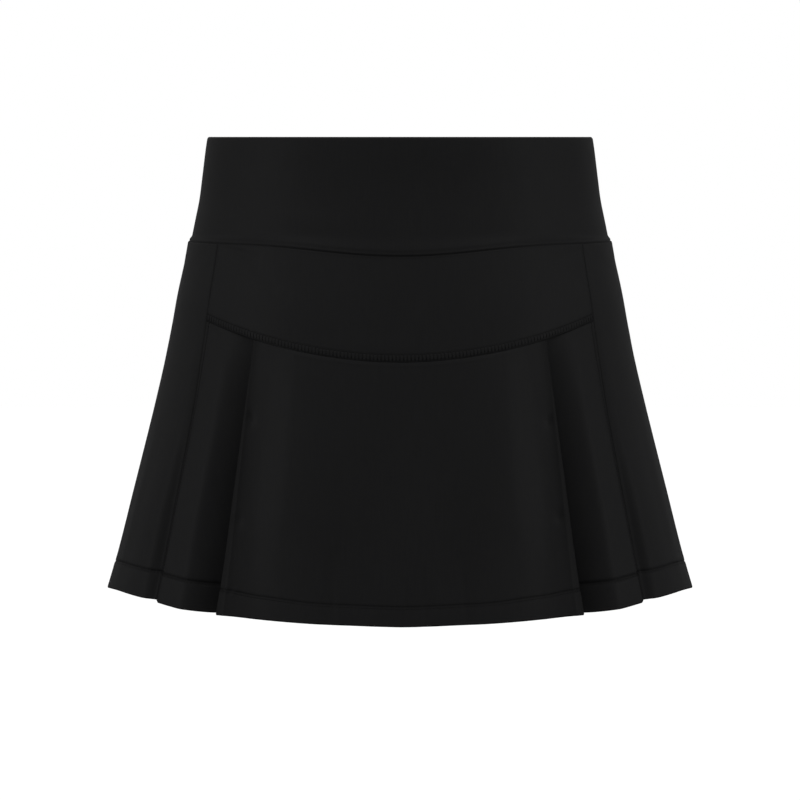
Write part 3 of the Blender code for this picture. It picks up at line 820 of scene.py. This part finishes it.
def hemmed(reading, hem=HEM, pull=1.0):
    """A hem's relief, proud below its drawn-in stitches, and painted shade along their line."""
    above_hem = reading.up - hem
    line = pull * dent(above_hem, HEM_PRESS_WIDTH)
    proud = HEM_PROUD * ease(-above_hem / HEM_PROUD_STEP)
    return proud - HEM_PRESS * line + puckered(reading.left, above_hem), PAINTED_HEM_SHADE * line


def mirrored(grid):
    """The same grid on the body's other side, its columns still from left to right."""
    return grid[:, ::-1] * np.array((-1, 1, 1))


def skirt_front():
    stretches = np.concatenate((
        spaced(CENTRE_WIDTH, (CENTRE_WIDTH,), fine=0.0006, coarse=0.0022, reach=0.006)[:-1],
        *(np.linspace(start, start + 1, count, endpoint=False)
          for start, count in enumerate(FOLD_POINTS, 1)),
        4 + spaced(SECTION_WIDTH, (SECTION_WIDTH - TOPSTITCH, SECTION_WIDTH), coarse=0.0018),
    ))
    rows = spaced(FRONT_LENGTH, (0, *FRONT_LENGTH - np.array(STITCH_DEPTHS), FRONT_LENGTH))
    right = panel_grid(SKIRT_RINGS, pleat_place, below(yoke_seam), front_hem, stretches, rows)
    grid = np.concatenate((mirrored(right)[:, :-1], right), axis=1)
    stretch = np.abs(np.concatenate((stretches[:0:-1], stretches)))
    drop = -grid[..., 2]
    angle = np.arctan2(grid[..., 0] / read(SKIRT_RINGS, "half_width", drop),
                       -grid[..., 1] / read(SKIRT_RINGS, "front_depth", drop))
    rise = waved(angle, FRONT_WAVES) * ease((drop - YOKE_SEAM) / WAVE_REACH)
    away = read(PLEATS, "edge_angle", drop) - np.abs(np.degrees(angle))
    to_edge = 1 - np.clip(away / read(LIFTS, "reach", drop), 0.0, 1.0)
    bulged = ease((away - BULGE_START) / (BULGE_CREST - BULGE_START))
    bulged = bulged - ease((away - BULGE_CREST) / (BULGE_END - BULGE_CREST))
    rise = rise + read(LIFTS, "edge", drop) * to_edge ** 2 + read(LIFTS, "bulge", drop) * bulged
    on_top = (stretch <= 1) | (stretch >= 4)
    grid[..., 1] -= rise * np.clip(3 - stretch, 0.0, 1.0)

    reading = measures(grid)
    from_seam = np.minimum(reading.left, reading.right)
    fading = ease((TOPSTITCH_END - drop) / TOPSTITCH_FADE)
    hem = read(FRONT_HEM_DEPTHS, "depth", stretch)
    pull = read(FRONT_HEM_DEPTHS, "pull", stretch)
    relief, painted_shade = hemmed(reading, hem, pull)
    drawn = TOPSTITCH_FADED + (1 - TOPSTITCH_FADED) * fading
    relief = relief - stitched(from_seam - TOPSTITCH) * drawn
    relief = relief + RIDGE * dent(reading.down - RIDGE_DROP, RIDGE_WIDTH)
    # Painted shade along the topstitching, beside the side-front seams and along the pleats'
    # edges.
    painted_shade = painted_shade + PAINTED_STITCH_SHADE * fading * dent(from_seam - TOPSTITCH, STITCH_PRESS_WIDTH)
    from_fold = (1 - np.minimum(stretch, 1.0)) * CENTRE_WIDTH
    painted_shade = painted_shade + painted_side_front_shade(grid, from_seam)
    painted_shade = painted_shade + PAINTED_PLEAT_SHADE * dent(from_fold, PAINTED_PLEAT_SHADE_WIDTH) * (stretch < 2.5)
    folds = creased(grid, SKIRT_RINGS, FRONT_CREASES) * on_top
    front = knit_panel("skirt_front", "skirt_knit", skirt_knit, grid, relief, painted_shade, folds, hem)
    return front


front = skirt_front()


# ---- side panels ----
# A plain flared panel on each side, from the side-front seam to the side seam. Each is one
# layer of the skirt's knit, and its hem lies a little higher than the front's.

SIDE_AND_BACK_HEM = table(
    EDGE,
    (54.5, 315.6), (60, 314.5), (70, 314.4), (80, 316), (90, 318.3), (120, 319.8),
    (180, 320.5),
)

SIDE_LENGTH = 0.243
SIDE_WIDTH = 0.09
SIDE_ROWS = spaced(SIDE_LENGTH, (0, SIDE_LENGTH - HEM, SIDE_LENGTH), fine=0.0003, coarse=0.003)
SIDE_VALLEY_WIDTH = 0.009
SWELL_CREST = 0.12  # a side panel swells beside the side-front seam, to a crest at this
SWELL_END = 0.6  # share of its width, and sinks again up to this one

SIDE_CREASES = {
    "right": creases(
        (75, 175, 74, 330, -1, 9, 0.8),
        (86, 140, 84.5, 330, 1, 8, -0.8),
        (60, 78, 74, 92, -1.5, 4, -0.3),
        (90, 77, 79, 103, 1.5, 5, -0.35),
    ),
    "left": creases(
        (-73, 185, -75.5, 330, 1, 8.5, 0.8),
        (-87, 150, -85, 330, -1, 8.5, -0.8),
        (-61, 77, -73, 88, 1.5, 4, -0.3),
        (-89, 79, -80, 108, -1.5, 5, -0.35),
    ),
}


def side_and_back_hem(angle):
    turned = np.degrees(angle)
    return read(SIDE_AND_BACK_HEM, "drop", np.minimum(turned, 360 - turned))


def side_place(share, drop):
    first = side_front_angle(drop)
    first = first + half_slit_angle(SKIRT_RINGS, drop, first)
    last = side_angle - half_slit_angle(SKIRT_RINGS, drop, side_angle)
    angle = first + (last - first) * share
    from_seam = (angle - first) * speed_round(SKIRT_RINGS, drop, first)
    valley = read(SIDE_FRONT_SEAM, "valley", drop) * ease(1 - from_seam / SIDE_VALLEY_WIDTH)
    sunk = ease((share - SWELL_CREST) / (SWELL_END - SWELL_CREST))
    swell = read(SIDE_FRONT_SEAM, "swell", drop) * (ease(share / SWELL_CREST) - sunk)
    return angle, CLOTH / 2 + valley - swell


def side_panel(side):
    columns = spaced(SIDE_WIDTH, (0, SIDE_WIDTH), coarse=0.0022)
    grid = panel_grid(SKIRT_RINGS, side_place, below(waist_seam), side_and_back_hem,
                      columns, SIDE_ROWS)
    if side == "left":
        grid = mirrored(grid)
    reading = measures(grid)
    from_seam = reading.left if side == "right" else reading.right
    relief, painted_shade = hemmed(reading)
    folds = creased(grid, SKIRT_RINGS, SIDE_CREASES[side])
    panel = knit_panel("side_panel_" + side, "skirt_knit", skirt_knit, grid, relief,
                       painted_shade + painted_side_front_shade(grid, from_seam), folds, HEM)
    return panel


sides = [side_panel("right"), side_panel("left")]


# ---- back of the skirt ----
# The back is cut in one, from side seam to side seam. It hangs in soft flares, uneven in width
# and depth, which start below the seat and grow towards the hem.

BACK_WIDTH = 0.42
FLARE_START = 0.15
FLARE_END = 0.34

BACK_FLARES = table(
    WAVE,
    (114, 13, 4), (139, 15, 6.2), (164, 12, 4.6), (190, 14, 5.6), (217, 15, 4.8),
    (244, 13, 5.8),
)

BACK_CREASES = creases(
    (100, 76, 114, 98, -1.5, 4.5, -0.4),
    (122, 75, 136, 86, 1, 4, -0.3),
    (150, 76, 163, 93, 1.5, 5, -0.35),
    (190, 75, 206, 89, -1, 4.5, -0.35),
    (226, 76, 240, 87, 1.5, 4.5, -0.3),
    (260, 76, 247, 101, 1, 5, -0.4),
    (140, 135, 196, 143, 2, 8, -0.45),
    (176, 156, 214, 150, -2, 7.5, -0.4),
    (127, 190, 127.5, 330, 0.8, 7, -0.8),
    (152, 200, 151, 330, -0.8, 6.5, -0.8),
    (178, 185, 177, 330, 1, 8, -0.9),
    (203, 205, 204.5, 330, -0.6, 6.5, -0.8),
    (231, 190, 230, 330, 0.8, 7.5, -0.8),
)


def back_place(share, drop):
    angle = side_angle + (2 * pi - 2 * side_angle) * share
    angle = angle + half_slit_angle(SKIRT_RINGS, drop, angle) * (1 - 2 * share)
    grown = ease((drop - FLARE_START) / (FLARE_END - FLARE_START))
    return angle, CLOTH / 2 - waved(angle, BACK_FLARES) * grown


def back_panel():
    columns = spaced(BACK_WIDTH, (0, BACK_WIDTH), coarse=0.0024)
    grid = panel_grid(SKIRT_RINGS, back_place, below(waist_seam), side_and_back_hem,
                      columns, SIDE_ROWS)
    folds = creased(grid, SKIRT_RINGS, BACK_CREASES)
    back = knit_panel("back_panel", "skirt_knit", skirt_knit, grid,
                      *hemmed(measures(grid)), folds, HEM)
    return back


back = back_panel()


# ---- inner shorts ----
# Four pieces of finer knit, sewn into the waist seam with the skirt. Their centre seams turn
# under to the crotch, and each leg ends in a coverstitched hem.

SHORTS_RINGS = table(
    RING,
    (72, 145.8, 106.1, 111.1, 0),
    (90, 147.5, 107.8, 114, 0),
    (111, 150, 109.6, 117.8, 0),
    (134, 153, 110.8, 122.2, 0),
    (153, 155.8, 110.8, 126.2, 0),
    (180, 158.5, 109.4, 129.5, 0),
    (206, 160, 106, 130, 0),
    (250, 160, 97.6, 118, 0),
)

LEG_RINGS = table(
    "drop_mm inner_mm outer_mm front_depth_mm back_depth_mm",
    (195, 0.2, 160, 97.5, 123),
    (250, 0.2, 160, 90.8, 111),
    (275, 2, 159.8, 90.6, 101),
    (298, 4, 159.5, 90.5, 94),
)

RISE_START = 0.195  # where the centre seams begin to turn under
CROTCH = 0.25
INNER_SHARE = 0.4  # share of a piece's width that turns under with the seam
SHORTS_WIDTH = 0.22
BODY_ROWS = 44
RISE_ROWS = 30
LEG_LENGTH = 0.048
LEG_HEM = 0.017
CROTCH_JOIN = 0.0007  # how far the crotch's seam draws the legs' walls into each other
CROTCH_JOIN_REACH = 0.01

SHORTS_CREASES = {
    "front": creases(
        (3, 196, 24, 176, 1, 6, -0.6),
        (4, 214, 30, 204, 1.5, 6, -0.5),
        (60, 90, 82, 110, 2, 6, -0.3),
    ),
    "back": creases(
        (176, 200, 152, 178, -1, 6, -0.6),
        (174, 216, 146, 208, -1.5, 6, -0.5),
        (100, 100, 122, 118, 2, 6, -0.3),
    ),
}

shorts_knit = knit("shorts_knit", yarn=(0.0088, 0.0088, 0.0091), gaps=(0.0044, 0.0044, 0.0046),
                   wales=2000, courses=2400, roughness=0.74, bump=0.3)


def leg_point(depth_column, share, drop):
    """A point on the middle of half a leg, from its inner side round to its outer side."""
    joined = CROTCH_JOIN * (1 - ease((drop - CROTCH) / CROTCH_JOIN_REACH))
    inner = read(LEG_RINGS, "inner", drop) + CLOTH / 2 - joined
    outer = read(LEG_RINGS, "outer", drop) - CLOTH / 2
    depth = read(LEG_RINGS, depth_column, drop) - CLOTH / 2
    x = (inner + outer) / 2 - (outer - inner) / 2 * np.cos(pi * share)
    return np.stack((x, -depth * np.sin(pi * share), -drop), axis=-1)


def shorts_grid(half):
    """The middle of a right-hand piece, drawn as a front piece."""
    down_body = np.linspace(0, 1, BODY_ROWS, endpoint=False)
    down_rise = np.linspace(0, 1, RISE_ROWS, endpoint=False)
    down_leg = spaced(LEG_LENGTH, (LEG_LENGTH - LEG_HEM, LEG_LENGTH), fine=0.0005)
    rows = np.array([(at, 0, 0) for at in down_body] + [(1, at, 0) for at in down_rise]
                    + [(1, 1, at) for at in down_leg])
    body, rise, leg = rows.T[..., None]
    share = spaced(SHORTS_WIDTH, (0, SHORTS_WIDTH), coarse=0.0035)
    angle = pi / 2 * share if half == "front" else pi - pi / 2 * share
    top = waist_seam(angle) + SEAM_SLIT / 2
    turned = pi / 2 * rise
    drop = top + (RISE_START - top) * body + (CROTCH - RISE_START) * np.sin(turned)
    drop = drop + (LEG_RINGS[-1].drop - CROTCH) * leg
    at_seam = 1 - np.cos(turned)
    on_leg = at_seam + (ease(np.sin(turned)) - at_seam) * ease(share / INNER_SHARE)
    on_body = ring_point(SHORTS_RINGS, drop, angle, CLOTH / 2)
    on_body[..., 1] = -np.abs(on_body[..., 1])
    legs = leg_point(half + "_depth", share, drop)
    return on_body + (legs - on_body) * on_leg[..., None]


def shorts_piece(half, side):
    grid = shorts_grid(half)
    if half == "back":
        grid = (grid * np.array((1, -1, 1)))[:, ::-1]
    folds = creased(grid, SHORTS_RINGS, SHORTS_CREASES[half])
    if side == "left":
        grid = mirrored(grid)
        folds = folds[:, ::-1]
    cloth = knit_panel(f"shorts_{half}_{side}", "shorts_knit", shorts_knit, grid,
                       *hemmed(measures(grid), LEG_HEM), folds, LEG_HEM)
    return cloth


shorts = [shorts_piece(half, side) for half in ("front", "back") for side in ("right", "left")]


# ---- sewing ----
# Black polyester thread. A coverstitch runs along the yoke seam and round every hem: two rows
# of needle stitches, with a looper thread that crosses between them, outside on the yoke and
# inside on the hems. A single line of stitches runs down beside each side-front seam.

THREAD = 0.0003
LOOPER_THREAD = 0.00046  # the bulkier thread of a looper
STITCH = 0.0025  # length of a stitch
STITCH_HOLE = 0.14  # share of its length that goes down into the cloth
STITCH_POINTS = 7
THREAD_SIDES = 6
NEEDLE_LIFT = 0.00012
LOOPER_LIFT = 0.00022
LOOPER_STEP = 0.0001  # a looper thread's way back lies this much higher


def thread_material():
    """Twisted black filament thread, darker than the knit."""
    material, tree, shader = new_material("sewing_thread", {"Specular IOR Level": 0.05})
    place = new_node(tree, "TexCoord", {}).outputs["Object"]
    twist = noise(tree, place, (1.0, 1.0, 1.0), 2600.0, 2.0)
    colour = mixed(tree, twist, (0.0022, 0.0022, 0.0023, 1), (0.005, 0.005, 0.0052, 1))
    feed(tree, shader, {"Base Color": colour,
                        "Roughness": maths(tree, "MULTIPLY_ADD", twist, 0.2, 0.55)})
    return material


sewing_thread = thread_material()


def line_at(points, reading, level):
    """The line across a panel where a measure of it is at a level."""
    if reading[0, 0] > reading[-1, 0]:
        points = points[::-1]
        reading = reading[::-1]
    return np.array([[np.interp(level, reading[:, column], points[:, column, axis])
                      for axis in range(3)] for column in range(points.shape[1])])


def along_line(line, places):
    """Points at shares of a line's length."""
    run = lengths(line[None], 1)[0]
    return np.stack([np.interp(places * run[-1], run, line[:, axis]) for axis in range(3)],
                    axis=-1)


def stitch_count(line):
    return max(round(lengths(line[None], 1)[0, -1] / STITCH), 1)


Run = namedtuple("Run", "lines outward thickness")


def needle_stitches(line, outward):
    """A row of stitches along a line, as their middle lines and the way out of the cloth."""
    count = stitch_count(line)
    share = np.linspace(0, 1, STITCH_POINTS)
    places = (np.arange(count)[:, None] + STITCH_HOLE / 2 + (1 - STITCH_HOLE) * share) / count
    out = unit(along_line(outward, places))
    rise = (NEEDLE_LIFT + THREAD) * np.sin(pi * share) ** 0.6 - THREAD
    return Run(along_line(line, places) + out * rise[:, None], out, THREAD)


def looper_stitches(low, high, out_low, out_high, slant=0.5):
    """Threads that cross to and fro between two rows of stitches."""
    count = stitch_count(low)
    share = np.linspace(0, 1, STITCH_POINTS)
    lines = []
    for way in (0, 1):
        places = (np.arange(count)[:, None] + 0.5 + slant * (share - 0.5) * (1 - 2 * way)) / count
        up = share[:, None]
        middle = along_line(low, places) * (1 - up) + along_line(high, places) * up
        out = unit(along_line(out_low, places) * (1 - up) + along_line(out_high, places) * up)
        rise = (LOOPER_LIFT + THREAD) * np.sin(pi * share) ** 0.5 - THREAD + LOOPER_STEP * way
        lines.append((middle + out * rise[:, None], out))
    return Run(*(np.concatenate(parts) for parts in zip(*lines)), LOOPER_THREAD)


def sewing(name, runs, cloth):
    """One mesh of the stitches in some runs, going with the cloth that they are sewn through."""
    lines = np.concatenate([run.lines for run in runs])
    out = np.concatenate([run.outward for run in runs])
    radius = np.concatenate([np.full(len(run.lines), run.thickness / 2) for run in runs])
    count, points = lines.shape[:2]
    tangent = unit(np.gradient(lines, axis=1))
    beside = unit(np.cross(tangent, out))
    turn = 2 * pi * np.arange(THREAD_SIDES)[:, None] / THREAD_SIDES
    ring = beside[:, :, None] * np.cos(turn) + np.cross(beside, tangent)[:, :, None] * np.sin(turn)
    vertices = lines[:, :, None] + ring * radius[:, None, None, None]
    index = np.arange(count * points * THREAD_SIDES).reshape(count, points, THREAD_SIDES)
    following = np.roll(index, -1, axis=2)
    walls = np.stack((index[:, :-1], index[:, 1:], following[:, 1:], following[:, :-1]), axis=-1)
    faces = walls.reshape(-1, 4).tolist()
    faces += index[:, 0].tolist()
    faces += index[:, -1, ::-1].tolist()
    piece = smooth_mesh(name, vertices.reshape(-1, 3).tolist(), faces, sewing_thread)
    piece.parent = cloth.piece


def hem_sewing(cloth):
    """A hem's coverstitch: two rows of needle stitches outside and the looper thread inside."""
    above_hem = cloth.reading.up - cloth.hem
    rows = [needle_stitches(*(line_at(points, above_hem, level)
                              for points in (cloth.outer, cloth.outward)))
            for level in (-HEM_NEEDLES, HEM_NEEDLES)]
    low, high = (line_at(cloth.inner, above_hem, level) for level in (-HEM_LOOPER, HEM_LOOPER))
    out = -line_at(cloth.outward, above_hem, 0.0)
    return rows + [looper_stitches(low, high, out, out)]


def yoke_coverstitch():
    up = yoke.reading.up
    low, high = (line_at(yoke.outer, up, level) for level in (NEEDLE_LOW, NEEDLE_HIGH))
    out_low, out_high = (line_at(yoke.outward, up, level) for level in (NEEDLE_LOW, NEEDLE_HIGH))
    runs = [needle_stitches(low, out_low), needle_stitches(high, out_high),
            looper_stitches(low, high, out_low, out_high, slant=0.15)]
    sewing("yoke_coverstitch", runs, yoke)


yoke_coverstitch()
rows = [needle_stitches(*(line_at(points.swapaxes(0, 1), reading.T, TOPSTITCH)
                          for points in (front.outer, front.outward)))
        for reading in (front.reading.left, front.reading.right)]
sewing("side_front_topstitch", rows, front)
sewing("front_hem_coverstitch", hem_sewing(front), front)
sewing("back_hem_coverstitch", hem_sewing(back), back)
for side_name, panel in zip(("right", "left"), sides):
    sewing(f"side_hem_coverstitch_{side_name}", hem_sewing(panel), panel)
for side_name, pieces in (("right", shorts[0::2]), ("left", shorts[1::2])):
    runs = [run for piece in pieces for run in hem_sewing(piece)]
    sewing(f"shorts_hem_coverstitch_{side_name}", runs, pieces[0])


# ---- studio ----
# A white floor far below the garment, which hangs at the height of a wearer's waist. Soft
# panels on both sides light its front from high up, its sides and its rims, and white light
# comes from all round above it.

FLOOR_DROP = 1.05
FLOOR_HALF = 9.0
FILL = 0.66  # strength of the light from all round
PANEL_WIDTH = 1.0
PANEL_HEIGHT = 2.2
PANEL_DISTANCE = 2.6
GARMENT_MIDDLE = -0.16

PANELS = table(  # degrees round from the front, degrees above the level, and watts
    "name angle height power",
    ("front", 45.0, 50.0, 13.3),
    ("side", 63.0, 0.0, 15.5),
    ("rim", 85.0, 0.0, 5.7),
)


def seen(tree, strength, otherwise):
    """One strength where the camera sees it and another where it lights the garment."""
    by_camera = new_node(tree, "LightPath", {}).outputs["Is Camera Ray"]
    return maths(tree, "MULTIPLY_ADD", by_camera, strength - otherwise, otherwise)


def studio_floor():
    finish, tree, shader = new_material("studio_floor", {
        "Base Color": (0.05, 0.05, 0.05, 1), "Roughness": 0.95, "Specular IOR Level": 0.1,
        "Emission Color": (1, 1, 1, 1)})
    feed(tree, shader, {"Emission Strength": seen(tree, 1.0, 0.0)})
    corners = [(-1, -1), (1, -1), (1, 1), (-1, 1)]
    points = [(x * FLOOR_HALF, y * FLOOR_HALF, -FLOOR_DROP) for x, y in corners]
    smooth_mesh("floor", points, [(0, 1, 2, 3)], finish)


def soft_panel(row, side):
    """A tall panel of light that faces the garment."""
    light = bpy.data.lights.new(row.name, "AREA")
    light.shape = "RECTANGLE"
    light.size = PANEL_WIDTH
    light.size_y = PANEL_HEIGHT
    light.energy = row.power
    lamp = in_scene(row.name, light)
    turn, lift = side * radians(row.angle), radians(row.height)
    level = PANEL_DISTANCE * np.cos(lift)
    lamp.location = (level * np.sin(turn), -level * np.cos(turn),
                     GARMENT_MIDDLE + PANEL_DISTANCE * np.sin(lift))
    lamp.rotation_euler = (pi / 2 - lift, 0, turn)


def studio_light():
    for row in PANELS:
        soft_panel(row, -1)
        soft_panel(row, 1)
    world = bpy.data.worlds.new("studio_light")
    world.use_nodes = True
    tree = world.node_tree
    feed(tree, tree.nodes["Background"], {"Color": (1, 1, 1, 1),
                                          "Strength": seen(tree, 1.0, FILL)})
    bpy.context.scene.world = world
    bpy.context.scene.view_settings.view_transform = "Standard"


studio_floor()
studio_light()

CAMERA_DISTANCE = 2.0
CAMERA_TILT = 5.2836  # degrees below the level
SENSOR = 36.0
LENS = 128.025

camera_data = bpy.data.cameras.new("camera")
camera_data.sensor_width = SENSOR
camera_data.lens = LENS
camera = in_scene("camera", camera_data)
camera.location = (0, -CAMERA_DISTANCE, 0)
camera.rotation_euler = (radians(90 - CAMERA_TILT), 0, 0)
bpy.context.scene.camera = camera
